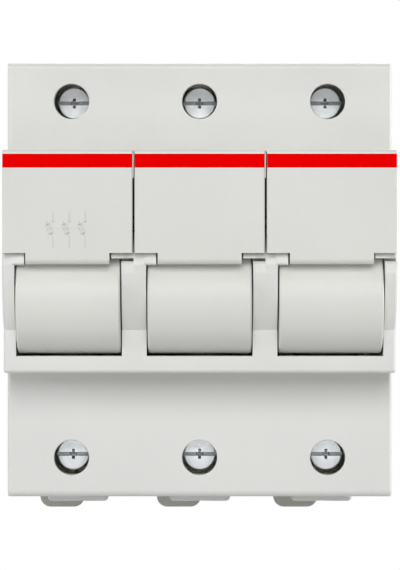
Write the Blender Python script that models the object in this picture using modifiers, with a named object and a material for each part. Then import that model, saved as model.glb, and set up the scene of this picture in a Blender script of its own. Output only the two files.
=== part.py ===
"""Three-pole fuse holder for 14 x 51 mm cylindrical fuses, for a 35 mm rail.

X runs to the right, Y away from the viewer and Z up. The origin is on the
plane that seats on the rail, at the rail's centre line, in the middle pole.
Lengths below are in millimetres and become metres through MM.
"""

import math

import bmesh
import bpy
from mathutils import Matrix, Vector

MM = 0.001

# ---- driving dimensions -------------------------------------------------
PITCH = 26.5  # one and a half modules of 17.67 mm
POLES = {"left": -PITCH, "middle": 0.0, "right": PITCH}
HALF_W = 1.5 * PITCH  # 39.75

TOP, BOTTOM = 41.05, -48.75  # terminal covers
COVER_Y = -54.0  # their front
REAR_Y = -7.3  # rear of the front housing
NOSE_TOP, NOSE_BOTTOM = 22.85, -22.35  # the 45 mm nose
LABEL_Y = -72.0  # front of the label plates
BAR_Y = -65.1  # front of the bar under the windows
POST_Y = -70.2  # front of the posts
WALL = 2.0
CAVITY = 10.75  # half width of one pole's chamber and window
WINDOW_BOTTOM = -18.95

AXIS = (-60.2, -7.75)  # carrier hinge, (Y, Z)
DRUM_R = 10.9
DRUM_HALF = 10.4
POST_TOP_R = 13.7  # top of the posts, round the hinge
CARRIER_R = 14.1  # underside of the carrier's side walls
NOTCH_Z = 2.15  # label plate's lower edge beside the tongue
TONGUE_Z = -0.15
TONGUE_HALF = 8.4
POST_CAP_X = 8.75

TILT = math.radians(25.0)  # the fuse leans forward at the top
FUSE_OFFSET = 9.3  # its axis behind the hinge, square to the fuse
FUSE_SHIFT = -3.0  # its middle along its own axis
FUSE_LENGTH, FUSE_R, BARREL_R, CAP_LENGTH = 51.0, 7.0, 6.6, 13.0

SCREW_Z = {"upper": 33.1, "lower": -40.6}
FORWARD = {"upper": 0.0, "lower": -3.7}  # the lower terminals stand nearer the front
HOLE_R = 3.6
HEAD_Y, HEAD_H, HEAD_R = -42.0, 2.6, 3.45
SHANK_R, SHANK_END = 2.45, -22.8
BUS_Y, BUS_HALF = -21.75, 5.0
CAGE_Y = (-25.4, -23.0, -12.2, -10.9)
CAGE_X = (5.6, 6.8)
CAGE_HALF_Z = 4.1
WIRE_Y, WIRE_R = -16.4, 4.9
COLLAR_Z = -52.9

FOOT_Y = 5.0
CLIP_X = (-9.75, 0.3)
CLIP_Y = (0.6, 4.6)
BACK_SCREW_Z = (30.0, -43.0)

# ---- scene --------------------------------------------------------------
for old in list(bpy.data.objects):
    bpy.data.objects.remove(old, do_unlink=True)

PARTS = bpy.data.collections.new("cartridge_fuse_holder")
CUTTERS = bpy.data.collections.new("cutters")
bpy.context.scene.collection.children.link(PARTS)
bpy.context.scene.collection.children.link(CUTTERS)

MATERIALS = {}


def material(name, colour, roughness, metallic=0.0):
    made = bpy.data.materials.new(name)
    made.use_nodes = True
    shader = made.node_tree.nodes["Principled BSDF"]
    shader.inputs["Base Color"].default_value = (*colour, 1.0)
    shader.inputs["Roughness"].default_value = roughness
    shader.inputs["Metallic"].default_value = metallic
    made.diffuse_color = (*colour, 1.0)
    MATERIALS[name] = made


material("housing_grey", (0.70, 0.71, 0.68), 0.45)
material("base_grey", (0.45, 0.46, 0.44), 0.55)
material("carrier_grey", (0.69, 0.70, 0.67), 0.42)
material("clip_grey", (0.33, 0.33, 0.30), 0.55)
material("zinc", (0.62, 0.65, 0.70), 0.28, 1.0)
material("steel", (0.50, 0.50, 0.50), 0.35, 1.0)
material("copper", (0.72, 0.66, 0.55), 0.30, 1.0)
material("ceramic", (0.83, 0.81, 0.76), 0.40)
material("spring_steel", (0.40, 0.40, 0.40), 0.30, 1.0)

# ---- shaping helpers ----------------------------------------------------
TURN = {
    # local x, y, z of a flat outline become these world axes
    "YZ": Matrix(((0, 0, 1, 0), (1, 0, 0, 0), (0, 1, 0, 0), (0, 0, 0, 1))),
    "XY": Matrix.Identity(4),
    "XZ": Matrix(((1, 0, 0, 0), (0, 0, -1, 0), (0, 1, 0, 0), (0, 0, 0, 1))),
}


def add(name, mesh, collection=None, finish=None):
    obj = bpy.data.objects.new(name, mesh)
    (collection or CUTTERS).objects.link(obj)
    if finish:
        mesh.materials.clear()
        mesh.materials.append(MATERIALS[finish])
    return obj


def cleaned(mesh):
    """Caps joined to sides, coplanar triangles joined to one face, faces out."""
    bm = bmesh.new()
    bm.from_mesh(mesh)
    bmesh.ops.remove_doubles(bm, verts=bm.verts, dist=1e-6)
    bmesh.ops.dissolve_limit(
        bm, angle_limit=math.radians(0.2), verts=bm.verts, edges=bm.edges
    )
    bmesh.ops.recalc_face_normals(bm, faces=bm.faces)
    bm.to_mesh(mesh)
    bm.free()


def slab(name, points, low, high, plane="YZ", finish=None, part=False):
    """A flat outline in the given plane, from low to high across it."""
    curve = bpy.data.curves.new(name + "_outline", "CURVE")
    curve.dimensions = "2D"
    curve.fill_mode = "BOTH"
    curve.extrude = (high - low) / 2 * MM
    spline = curve.splines.new("POLY")
    spline.points.add(len(points) - 1)
    for point, (a, b) in zip(spline.points, points):
        point.co = (a * MM, b * MM, 0.0, 1.0)
    spline.use_cyclic_u = True
    outline = bpy.data.objects.new(name + "_outline", curve)
    CUTTERS.objects.link(outline)
    across = (low + high) / 2 * MM
    if plane == "XZ":
        across = -across
    outline.matrix_world = TURN[plane] @ Matrix.Translation((0, 0, across))
    bpy.context.view_layer.update()
    graph = bpy.context.evaluated_depsgraph_get()
    mesh = bpy.data.meshes.new_from_object(outline.evaluated_get(graph))
    mesh.name = name
    mesh.transform(outline.matrix_world)
    bpy.data.objects.remove(outline, do_unlink=True)
    cleaned(mesh)
    return add(name, mesh, PARTS if part else None, finish)


def block(name, low, high, finish=None, part=False):
    bm = bmesh.new()
    bmesh.ops.create_cube(bm, size=1.0)
    size = [(h - l) * MM for l, h in zip(low, high)]
    middle = [(h + l) / 2 * MM for l, h in zip(low, high)]
    bmesh.ops.scale(bm, vec=size, verts=bm.verts)
    bmesh.ops.translate(bm, vec=middle, verts=bm.verts)
    mesh = bpy.data.meshes.new(name)
    bm.to_mesh(mesh)
    bm.free()
    return add(name, mesh, PARTS if part else None, finish)


def rod(name, axis, centre, low, high, radius, segments=24, finish=None, part=False, turn=0.0):
    """A cylinder along a world axis; centre gives the other two coordinates."""
    bm = bmesh.new()
    bmesh.ops.create_cone(
        bm,
        cap_ends=True,
        segments=segments,
        radius1=radius * MM,
        radius2=radius * MM,
        depth=(high - low) * MM,
    )
    bmesh.ops.rotate(
        bm, verts=bm.verts, cent=(0, 0, 0), matrix=Matrix.Rotation(turn, 3, "Z")
    )
    middle = (low + high) / 2
    if axis == "X":
        spin, place = Matrix.Rotation(math.pi / 2, 3, "Y"), (middle, *centre)
    elif axis == "Y":
        spin = Matrix.Rotation(-math.pi / 2, 3, "X")
        place = (centre[0], middle, centre[1])
    else:
        spin, place = Matrix.Identity(3), (*centre, middle)
    bmesh.ops.rotate(bm, verts=bm.verts, cent=(0, 0, 0), matrix=spin)
    bmesh.ops.translate(bm, vec=[value * MM for value in place], verts=bm.verts)
    mesh = bpy.data.meshes.new(name)
    bm.to_mesh(mesh)
    bm.free()
    return add(name, mesh, PARTS if part else None, finish)


def rounded(obj, chosen, radius, segments=2):
    """Rounds the edges for which chosen(first end, second end) holds, in mm."""
    bm = bmesh.new()
    bm.from_mesh(obj.data)
    edges = [
        edge
        for edge in bm.edges
        if chosen(edge.verts[0].co / MM, edge.verts[1].co / MM)
    ]
    bmesh.ops.bevel(
        bm,
        geom=edges,
        offset=radius * MM,
        segments=segments,
        profile=0.5,
        affect="EDGES",
        clamp_overlap=True,
    )
    bm.to_mesh(obj.data)
    bm.free()
    return obj


def combine(target, other, operation):
    modifier = target.modifiers.new(operation.lower(), "BOOLEAN")
    modifier.operation = operation
    modifier.solver = "EXACT"
    modifier.object = other
    other.hide_render = True
    other.display_type = "WIRE"


def cut(target, *others):
    for other in others:
        combine(target, other, "DIFFERENCE")


def join(target, *others):
    for other in others:
        combine(target, other, "UNION")


def settle(obj):
    """Applies the modifiers, so that the result can take part in more cuts."""
    bpy.context.view_layer.update()
    graph = bpy.context.evaluated_depsgraph_get()
    mesh = bpy.data.meshes.new_from_object(obj.evaluated_get(graph))
    helpers = [m.object for m in obj.modifiers if m.type == "BOOLEAN"]
    obj.modifiers.clear()
    old = obj.data
    mesh.name = old.name
    obj.data = mesh
    bpy.data.meshes.remove(old)
    for helper in helpers:
        bpy.data.objects.remove(helper, do_unlink=True)
    cleaned(obj.data)
    return obj


def pivot(obj, point):
    """Puts the object's origin at this point and leaves its shape in place."""
    place = Vector(point) * MM
    obj.data.transform(Matrix.Translation(-place))
    obj.location = place
    return obj


def smooth(obj, degrees=35):
    obj.data.shade_smooth()
    obj.data.set_sharp_from_angle(angle=math.radians(degrees))
    return obj


def arc(centre, radius, start, end, count):
    """Points on a circle in a flat outline, angles in degrees."""
    return [
        (
            centre[0] + radius * math.cos(math.radians(start + (end - start) * i / count)),
            centre[1] + radius * math.sin(math.radians(start + (end - start) * i / count)),
        )
        for i in range(count + 1)
    ]


def hinge_arc(radius, z_front, y_rear, count):
    """Points round the hinge, over the top, from a height in front to a depth behind."""
    start = 180 - math.degrees(math.asin((z_front - AXIS[1]) / radius))
    end = math.degrees(math.acos((y_rear - AXIS[0]) / radius))
    return arc(AXIS, radius, start, end, count)


def leaning(n, u):
    """A point of the leaning fuse's own frame: n behind the hinge, u along the fuse."""
    return (
        AXIS[0] + n * math.cos(TILT) - u * math.sin(TILT),
        AXIS[1] + n * math.sin(TILT) + u * math.cos(TILT),
    )


def ribbon(points, thickness):
    """The closed outline of a bent strip along these points, with mitred bends."""
    left, right = [], []
    for i, here in enumerate(points):
        here = Vector(here)
        before = (here - Vector(points[i - 1])).normalized() if i else None
        after = (
            (Vector(points[i + 1]) - here).normalized() if i + 1 < len(points) else None
        )
        along = ((before or after) + (after or before)).normalized()
        side = Vector((-along.y, along.x))
        ref = after or before
        across = Vector((-ref.y, ref.x))
        reach = thickness / 2 / max(side.dot(across), 0.3)
        left.append(tuple(here + side * reach))
        right.append(tuple(here - side * reach))
    return left + right[::-1]


# ---- front housing ------------------------------------------------------
def front_housing():
    post = arc((POST_Y + 20.42, -0.15), 20.42, 180 + 41.4, 180, 7)
    post[0] = (BAR_Y, -13.65)
    outline = (
        [(REAR_Y, BOTTOM)]
        + arc((COVER_Y + 1.5, BOTTOM + 1.5), 1.5, 270, 180, 3)
        + [(COVER_Y, NOSE_BOTTOM)]
        + arc((BAR_Y + 0.8, NOSE_BOTTOM + 0.8), 0.8, 270, 180, 2)
        + post[:-1]
        + [(-70.35, -0.15)]
        + hinge_arc(POST_TOP_R, 1.85, COVER_Y, 12)
        + arc((COVER_Y + 1.2, TOP - 1.2), 1.2, 180, 90, 3)
        + [(REAR_Y, TOP)]
    )
    body = slab("front_housing", outline, -HALF_W, HALF_W, finish="housing_grey", part=True)
    rounded(
        body,
        lambda a, b: abs(abs(a.x) - HALF_W) < 1e-3
        and abs(abs(b.x) - HALF_W) < 1e-3
        and a.x * b.x > 0
        and (a.y < REAR_Y - 1 or b.y < REAR_Y - 1),
        0.8,
        1,
    )
    chamber = [
        (-80, WINDOW_BOTTOM),
        (-62.6, WINDOW_BOTTOM),
        (-62.6, NOSE_BOTTOM + WALL),
        (COVER_Y + WALL, NOSE_BOTTOM + WALL),
        (COVER_Y + WALL, -35.2),
        (-30.0, -35.2),
        (-30.0, -36.2),
        (COVER_Y + WALL, -36.2),
        (COVER_Y + WALL, BOTTOM + 1.5),
        (-2.0, BOTTOM + 1.5),
        (-2.0, TOP - 1.5),
        (COVER_Y + WALL, TOP - 1.5),
        (COVER_Y + WALL, 24.5),
        (-38.5, 24.5),
        (-38.5, NOSE_TOP + 0.15),
        (-80, NOSE_TOP + 0.15),
    ]
    for side, x in POLES.items():
        cut(body, slab(side + "_chamber", chamber, x - CAVITY, x + CAVITY))
    settle(body)

    left_cap = [(-70.3, -0.15), (-69.95, 1.85), (-66.3, 1.85), (-68.6, -0.15)]
    right_cap = [(-70.1, 1.05), (-69.95, 1.85), (-66.3, 1.85), (-67.2, 1.05)]
    for side, x in POLES.items():
        join(
            body,
            slab(side + "_cap_l", left_cap, x - CAVITY - 0.4, x - POST_CAP_X),
            slab(side + "_cap_r", right_cap, x + POST_CAP_X, x + CAVITY + 0.4),
            block(side + "_collar", (x - 6.6, -25.7, COLLAR_Z), (x + 6.6, -13.6, BOTTOM + 0.7)),
        )
        for end, z in SCREW_Z.items():
            join(body, rod(side + "_guide", "Y", (x, z), COVER_Y + 1.0, -42.6 + FORWARD[end], 5.0))
    settle(body)
    rounded(
        body,
        lambda a, b: max(a.z, b.z) < COLLAR_Z + 0.1
        or (min(a.z, b.z) < COLLAR_Z + 0.1 and abs(a.x - b.x) < 1e-3 and abs(a.y - b.y) < 1e-3),
        0.9,
        1,
    )
    for side, x in POLES.items():
        cut(
            body,
            block(side + "_seal_slot", (x + 10.0, -73.0, -0.1), (x + (13.25 if x < 20 else 14.5), -68.9, 1.05)),
            rod(side + "_top_entry", "Z", (x, WIRE_Y), TOP - 3, TOP + 2, WIRE_R),
            rod(side + "_low_entry", "Z", (x, WIRE_Y + FORWARD["lower"]), -56.0, BOTTOM + 3, WIRE_R),
        )
        for end, z in SCREW_Z.items():
            deep = -40.0 + FORWARD[end]
            cut(body, rod(side + "_screw_hole", "Y", (x, z), COVER_Y - 2, deep, HOLE_R, 32))
    for x in (-PITCH / 2, PITCH / 2):
        for z in BACK_SCREW_Z:
            cut(body, rod("pilot", "Y", (x, z), -17.0, -5.0, 1.65, 12))
    cut(body, rod("axle_bore", "X", AXIS, -38.4, 42.0, 1.8, 20))
    settle(body)
    return smooth(body, 30)


# ---- rear base ----------------------------------------------------------
def rear_base():
    front = REAR_Y + 0.3
    outline = [
        (front, BOTTOM),
        (FOOT_Y - 1.0, BOTTOM),
        (FOOT_Y, BOTTOM + 1.0),
        (FOOT_Y, -18.6),
        (-0.4, -18.6),
        (-0.4, -16.0),
        (0.0, -15.8),
        (0.0, 15.8),
        (-0.4, 16.0),
        (-0.4, 18.2),
        (1.5, 18.2),
        (1.5, 16.4),
        (FOOT_Y - 1.2, 16.4),
        (FOOT_Y, 17.6),
        (FOOT_Y, TOP - 1.0),
        (FOOT_Y - 1.0, TOP),
        (front, TOP),
    ]
    body = slab("rear_base", outline, -HALF_W, HALF_W, finish="base_grey", part=True)
    for side, x in POLES.items():
        cut(
            body,
            block(side + "_clip_wide", (x - 11.6, 0.3, -38.8), (x + 2.15, 2.7, -18.0)),
            block(
                side + "_clip_way",
                (x + CLIP_X[0] - 0.3, 0.3, -60.0),
                (x + CLIP_X[1] + 0.3, 8.0, -17.5),
            ),
            block(side + "_relief", (x - 9.0, -9.0, -34.0), (x + 9.0, -5.0, 26.0)),
        )
    settle(body)
    for side, x in POLES.items():
        join(body, block(side + "_lug", (x - 7.2, -1.0, -40.0), (x - 2.4, 4.1, -38.5)))
    for x in (-PITCH / 2, PITCH / 2):
        for z in BACK_SCREW_Z:
            cut(
                body,
                rod("through", "Y", (x, z), -9.0, 7.0, 1.65, 12),
                rod("sink", "Y", (x, z), 2.0, 8.0, 3.2, 16),
            )
    settle(body)
    return smooth(body, 30)


# ---- carriers -----------------------------------------------------------
def carrier(side, x):
    outline = (
        [(-54.3, TONGUE_Z), (-54.3, NOSE_TOP)]
        + arc((LABEL_Y + 0.8, NOSE_TOP - 0.8), 0.8, 90, 180, 2)
        + arc((LABEL_Y + 1.25, TONGUE_Z + 1.25), 1.25, 180, 270, 3)
    )
    body = slab(
        side + "_carrier", outline, x - 13.0, x + 13.0, finish="carrier_grey", part=True
    )
    under = (
        [(-74, -2), (-74, NOTCH_Z)]
        + hinge_arc(CARRIER_R, NOTCH_Z, -54.3, 12)
        + [(-53, 5.0), (-53, -2)]
    )
    inside = [
        (-70.3, 6.5),
        (-70.3, NOSE_TOP - WALL),
        (-53, NOSE_TOP - WALL),
        (-53, -2),
        (-66.4, -2),
        (-66.4, 1.2),
    ]
    cut(
        body,
        slab(side + "_under_l", under, x - 15, x - TONGUE_HALF),
        slab(side + "_under_r", under, x + TONGUE_HALF, x + 15),
        slab(side + "_inside", inside, x - 11.4, x + 11.4),
    )
    settle(body)

    drum = rod(side + "_drum", "X", AXIS, x - DRUM_HALF, x + DRUM_HALF, DRUM_R, 48)
    rounded(
        drum,
        lambda a, b: abs(a.x - b.x) < 1e-3,
        0.6,
        1,
    )
    hollow = [leaning(1.8, -12), leaning(12, -12), leaning(12, 12), leaning(1.8, 12)]
    sweep = math.degrees(math.acos(1.8 / 9.0))
    hollow += [
        leaning(9.0 * math.cos(math.radians(a)), 9.0 * math.sin(math.radians(a)))
        for a in [sweep + (360 - 2 * sweep) * i / 14 for i in range(15)]
    ]
    cut(drum, slab(side + "_hollow", hollow, x - 8.6, x + 8.6))
    settle(drum)
    for u in (-7.2, 7.2):
        rib = [leaning(-7.0, u - 0.7), leaning(5.6, u - 0.7), leaning(5.6, u + 0.7), leaning(-7.0, u + 0.7)]
        if u > 0:
            rib[0], rib[3] = leaning(-6.2, u - 0.7), leaning(-6.2, u + 0.7)
        join(drum, slab(side + "_saddle", rib, x - 9.2, x + 9.2))
    for edge in (-1, 1):
        grip = [leaning(8.4, -3), leaning(10.2, -3), leaning(10.2, 3), leaning(8.4, 3)]
        ends = sorted((x + edge * 6.95, x + edge * 9.0))
        join(drum, slab(side + "_grip", grip, *ends))
    settle(drum)
    barrel = rod(side + "_barrel_room", "Z", (0, 0), -14, 14, BARREL_R + 0.3, 32)
    lean_into_place(barrel, x)
    cut(drum, barrel)
    settle(drum)
    join(body, drum)
    settle(body)
    cut(
        body,
        rod(side + "_axle_way", "X", AXIS, x - 12, x + 12, 1.8, 20),
        rod(side + "_tie_way", "X", TIE, x - 15, x + 15, 1.6, 16),
    )
    if side != "right":
        join(body, block(side + "_lip", (x + 12.6, -71.4, 17.15), (x + 13.25, -60.0, 22.3)))
    settle(body)
    pivot(body, (x, *AXIS))
    return smooth(body, 30)


TIE = (-67.7, 8.25)


def lean_into_place(obj, x):
    """Moves a shape built along Z at the origin to the fuse's place and lean."""
    middle = leaning(FUSE_OFFSET, FUSE_SHIFT)
    # the top leans towards the viewer, which is a turn about +X
    turn = Matrix.Rotation(TILT, 4, "X")
    obj.data.transform(Matrix.Translation(Vector((x, *middle)) * MM) @ turn)
    return obj


def turned(name, profile, steps, finish):
    """A solid of revolution about Z from a profile of (radius, height), outer side down."""
    bm = bmesh.new()
    verts = [bm.verts.new((r * MM, 0, z * MM)) for r, z in profile]
    for a, b in zip(verts, verts[1:]):
        bm.edges.new((a, b))
    mesh = bpy.data.meshes.new(name)
    bm.to_mesh(mesh)
    bm.free()
    obj = add(name, mesh, PARTS, finish)
    screw = obj.modifiers.new("turn", "SCREW")
    screw.axis = "Z"
    screw.steps = screw.render_steps = steps
    screw.use_merge_vertices = True
    screw.merge_threshold = 1e-6
    screw.use_smooth_shade = False
    settle(obj)
    obj.data.materials.clear()
    obj.data.materials.append(MATERIALS[finish])
    return obj


def fuse(side, x):
    half = FUSE_LENGTH / 2
    inner = BARREL_R - 0.35
    seat = half - CAP_LENGTH - 0.3
    body = turned(
        side + "_fuse_body",
        [
            (0, half - 0.9),
            (inner, half - 0.9),
            (inner, seat),
            (BARREL_R, seat),
            (BARREL_R, -seat),
            (inner, -seat),
            (inner, -half + 0.9),
            (0, -half + 0.9),
        ],
        24,
        "ceramic",
    )
    made = [body]
    for end, sign in (("upper", 1), ("lower", -1)):
        profile = [
            (0, half),
            (FUSE_R - 0.5, half),
            (FUSE_R, half - 0.5),
            (FUSE_R, half - CAP_LENGTH),
            (BARREL_R, half - CAP_LENGTH),
            (BARREL_R, half - 0.6),
            (0, half - 0.6),
        ]
        cap = turned(f"{side}_fuse_{end}_cap", profile, 24, "zinc")
        if sign < 0:
            cap.data.transform(Matrix.Rotation(math.pi, 4, "X"))
        made.append(cap)
    for obj in made:
        lean_into_place(obj, x)
        pivot(obj, (x, *AXIS))
        smooth(obj)
    return made


# ---- contacts -----------------------------------------------------------
STRIP = 1.2


def upper_contact(side, x):
    web = [leaning(17.3, 21.4), leaning(17.3, 17.4)]
    rise, shelf = 17.4, 23.6
    reach = (shelf - AXIS[1] - rise * math.cos(TILT)) / math.sin(TILT)
    knee = leaning(reach, rise)
    line = [*web, knee, (BUS_Y, shelf), (BUS_Y, 38.6)]
    body = slab(
        side + "_upper_contact",
        ribbon(line, STRIP),
        x - BUS_HALF,
        x + BUS_HALF,
        finish="copper",
        part=True,
    )
    wide = [leaning(16.68, 16.79), leaning(17.92, 16.79), leaning(17.92, 21.45), leaning(16.68, 21.45)]
    leaf = [leaning(5.5, 12.2), leaning(17.9, 16.78), leaning(17.91, 21.44), leaning(5.5, 21.0)]
    join(
        body,
        slab(side + "_web", wide, x - 8.1, x + 8.1),
        slab(side + "_leaf_l", leaf, x - 8.09, x - 7.3),
        slab(side + "_leaf_r", leaf, x + 7.3, x + 8.09),
    )
    return settle(body)


def lower_contact(side, x):
    floor = -34.2
    drop = (floor - AXIS[1] - 1.25 * math.sin(TILT)) / math.cos(TILT)
    bus = BUS_Y + FORWARD["lower"]
    line = [leaning(1.25, -19.4), leaning(1.25, drop), (bus, floor), (bus, -46.7)]
    body = slab(
        side + "_lower_contact",
        ribbon(line, STRIP),
        x - BUS_HALF,
        x + BUS_HALF,
        finish="copper",
        part=True,
    )
    wide = [leaning(0.63, -28.4), leaning(1.87, -28.4), leaning(1.87, -19.35), leaning(0.63, -19.35)]
    leaf = [leaning(0.64, -28.39), leaning(12.6, -27.2), leaning(12.6, -20.0), leaning(0.64, -19.36)]
    join(
        body,
        slab(side + "_web", wide, x - 8.1, x + 8.1),
        slab(side + "_leaf_l", leaf, x - 8.09, x - 7.3),
        slab(side + "_leaf_r", leaf, x + 7.3, x + 8.09),
    )
    return settle(body)


# ---- terminals ----------------------------------------------------------
def terminal_screw(side, end, x):
    z = SCREW_Z[end]
    head = HEAD_Y + FORWARD[end]
    name = f"{side}_{end}_screw"
    profile = [
        (0, -HEAD_Y),
        (HEAD_R - 0.35, -HEAD_Y),
        (HEAD_R, -HEAD_Y - 0.35),
        (HEAD_R, -HEAD_Y - HEAD_H),
        (SHANK_R, -HEAD_Y - HEAD_H),
        (SHANK_R, -SHANK_END + 0.6),
        (SHANK_R - 0.6, -SHANK_END),
        (0, -SHANK_END),
    ]
    body = turned(name, profile, 24, "zinc")
    # height of the profile runs towards the viewer
    body.data.transform(
        Matrix.Translation(Vector((x, FORWARD[end], z)) * MM)
        @ Matrix.Rotation(math.pi / 2, 4, "X")
    )
    cut(
        body,
        block(name + "_slot", (x - 3.9, head - 1, z - 0.5), (x + 3.9, head + 1.1, z + 0.5)),
        block(name + "_cross", (x - 0.45, head - 1, z - 1.9), (x + 0.45, head + 1.7, z + 1.9)),
    )
    settle(body)
    pivot(body, (x, head, z))
    return smooth(body)


def terminal_cage(side, end, x):
    z = SCREW_Z[end]
    front, inner_front, inner_rear, rear = [y + FORWARD[end] for y in CAGE_Y]
    body = block(
        f"{side}_{end}_cage",
        (x - CAGE_X[1], front, z - CAGE_HALF_Z),
        (x + CAGE_X[1], rear, z + CAGE_HALF_Z),
        finish="steel",
        part=True,
    )
    rounded(body, lambda a, b: abs(a.z - b.z) > 1, 0.9, 1)
    cut(
        body,
        block("room", (x - CAGE_X[0], inner_front, z - 9), (x + CAGE_X[0], inner_rear, z + 9)),
        rod("thread", "Y", (x, z), front - 3, inner_front + 3, SHANK_R + 0.3, 16),
    )
    settle(body)
    return pivot(body, (x, front, z))


# ---- rail clips ---------------------------------------------------------
SPRING_Z = (-38.2, -27.8)
SPRING_XY = (-4.8, 2.6)


def rail_clip(side, x):
    tab_low = -57.2
    outline = (
        arc((x + CLIP_X[0] + 2.4, tab_low + 2.4), 2.4, 180, 270, 4)
        + arc((x + CLIP_X[1] - 2.4, tab_low + 2.4), 2.4, 270, 360, 4)
        + [(x + CLIP_X[1], -16.3), (x + CLIP_X[0], -16.3)]
    )
    body = slab(
        side + "_rail_clip", outline, *CLIP_Y, plane="XZ", finish="clip_grey", part=True
    )
    join(body, block("flange", (x - 11.3, 0.61, -34.0), (x + 1.85, 2.4, -20.6)))
    settle(body)
    cut(
        body,
        # the hook stands behind the rail's lip
        block("lip_room", (x - 15, -1, -18.9), (x + 5, 1.5, -10)),
        block("spring_room", (x - 7.5, -1, -40.3), (x - 2.1, 6, -27.5)),
        block("driver_slot", (x - 6.9, -1, -54.4), (x - 2.7, 6, -52.2)),
    )
    settle(body)
    return pivot(body, (x + (CLIP_X[0] + CLIP_X[1]) / 2, CLIP_Y[0], -20.0))


def clip_spring(side, x):
    turns, per_turn, radius, wire = 5, 8, 1.45, 0.28
    low, high = SPRING_Z[0] + wire, SPRING_Z[1] - wire
    curve = bpy.data.curves.new(side + "_clip_spring_line", "CURVE")
    curve.dimensions = "3D"
    curve.bevel_depth = wire * MM
    curve.bevel_resolution = 1
    curve.use_fill_caps = True
    count = turns * per_turn
    spline = curve.splines.new("POLY")
    spline.points.add(count)
    for i in range(count + 1):
        angle = 2 * math.pi * i / per_turn
        spline.points[i].co = (
            (x + SPRING_XY[0] + radius * math.cos(angle)) * MM,
            (SPRING_XY[1] + radius * math.sin(angle)) * MM,
            (low + (high - low) * i / count) * MM,
            1.0,
        )
    line = bpy.data.objects.new(side + "_clip_spring_line", curve)
    CUTTERS.objects.link(line)
    bpy.context.view_layer.update()
    graph = bpy.context.evaluated_depsgraph_get()
    mesh = bpy.data.meshes.new_from_object(line.evaluated_get(graph))
    bpy.data.objects.remove(line, do_unlink=True)
    bm = bmesh.new()
    bm.from_mesh(mesh)
    bmesh.ops.remove_doubles(bm, verts=bm.verts, dist=1e-6)
    bmesh.ops.recalc_face_normals(bm, faces=bm.faces)
    bm.to_mesh(mesh)
    bm.free()
    mesh.name = side + "_clip_spring"
    return smooth(add(side + "_clip_spring", mesh, PARTS, "spring_steel"), 60)


# ---- fasteners and rods -------------------------------------------------
def housing_screw(name, x, z):
    # head at the rear, shank towards the viewer
    profile = [
        (0, 16.0),
        (0.5, 16.0),
        (1.35, 14.4),
        (1.35, -2.3),
        (2.8, -2.3),
        (2.8, -3.5),
        (2.2, -4.1),
        (0, -4.1),
    ]
    body = turned(name, profile, 16, "zinc")
    body.data.transform(
        Matrix.Translation(Vector((x, 0, z)) * MM) @ Matrix.Rotation(math.pi / 2, 4, "X")
    )
    cut(body, block(name + "_slot", (x - 1.9, 3.2, z - 0.35), (x + 1.9, 6.0, z + 0.35)))
    cut(body, block(name + "_cross", (x - 0.35, 3.0, z - 1.5), (x + 0.35, 6.0, z + 1.5)))
    settle(body)
    return smooth(body)


front_housing()
rear_base()
for pole, centre in POLES.items():
    carrier(pole, centre)
    fuse(pole, centre)
    upper_contact(pole, centre)
    lower_contact(pole, centre)
    for end in SCREW_Z:
        terminal_screw(pole, end, centre)
        terminal_cage(pole, end, centre)
    rail_clip(pole, centre)
    clip_spring(pole, centre)
smooth(rod("carrier_axle", "X", AXIS, -38.1, 39.3, 1.5, 20, "steel", True))
smooth(rod("carrier_tie_rod", "X", TIE, -39.3, 39.3, 1.3, 16, "steel", True))
for number, (x, z) in enumerate(
    [(x, z) for z in BACK_SCREW_Z for x in (-PITCH / 2, PITCH / 2)], 1
):
    housing_screw(f"housing_screw_{number}", x, z)

hinge = bpy.data.objects.new("carrier_hinge", None)
hinge.location = Vector((0, *AXIS)) * MM
PARTS.objects.link(hinge)
bpy.context.view_layer.update()
for obj in PARTS.objects:
    if "_carrier" in obj.name or "_fuse_" in obj.name or obj.name == "carrier_tie_rod":
        obj.parent = hinge
        obj.matrix_parent_inverse = hinge.matrix_world.inverted()
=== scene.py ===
"""Looks for the three-pole fuse holder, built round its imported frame.

X runs to the right, Y away from the viewer and Z up, in metres. Sizes below
are in millimetres and become metres through MM.
"""

import math

import bmesh
import bpy
from mathutils import Matrix, Vector


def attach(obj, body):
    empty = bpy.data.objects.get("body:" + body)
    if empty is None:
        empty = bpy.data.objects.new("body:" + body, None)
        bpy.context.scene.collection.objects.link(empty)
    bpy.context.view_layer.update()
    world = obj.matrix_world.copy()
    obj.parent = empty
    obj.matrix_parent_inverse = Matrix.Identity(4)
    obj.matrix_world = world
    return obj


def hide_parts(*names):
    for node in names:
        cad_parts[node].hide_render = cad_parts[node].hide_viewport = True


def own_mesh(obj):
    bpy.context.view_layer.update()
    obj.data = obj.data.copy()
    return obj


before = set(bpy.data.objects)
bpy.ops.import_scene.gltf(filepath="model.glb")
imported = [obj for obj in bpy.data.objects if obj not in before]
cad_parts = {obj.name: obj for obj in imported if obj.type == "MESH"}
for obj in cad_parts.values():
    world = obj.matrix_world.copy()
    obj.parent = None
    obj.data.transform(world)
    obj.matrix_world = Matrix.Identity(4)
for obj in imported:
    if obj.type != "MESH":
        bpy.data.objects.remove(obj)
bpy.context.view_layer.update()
MM = 0.001
PITCH = 26.5
POLES = {"left": -PITCH, "middle": 0.0, "right": PITCH}
HALF_W = 39.75
TOP, BOTTOM = 41.05, -48.75
COVER_Y, REAR_Y = -54.0, -7.3
NOSE_TOP, NOSE_BOTTOM = 22.85, -22.35
LABEL_Y, BAR_Y, POST_Y = -72.0, -65.1, -70.2
WALL, CAVITY, WINDOW_BOTTOM = 2.0, 10.75, -18.95
AXIS = (-60.2, -7.75)
DRUM_R, DRUM_HALF = 10.9, 10.5
POST_TOP_R, CARRIER_R = 13.7, 14.1
NOTCH_Z, TONGUE_Z, TONGUE_HALF, POST_CAP_X = 2.15, -0.15, 8.4, 8.75
TILT = math.radians(25.0)
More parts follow.
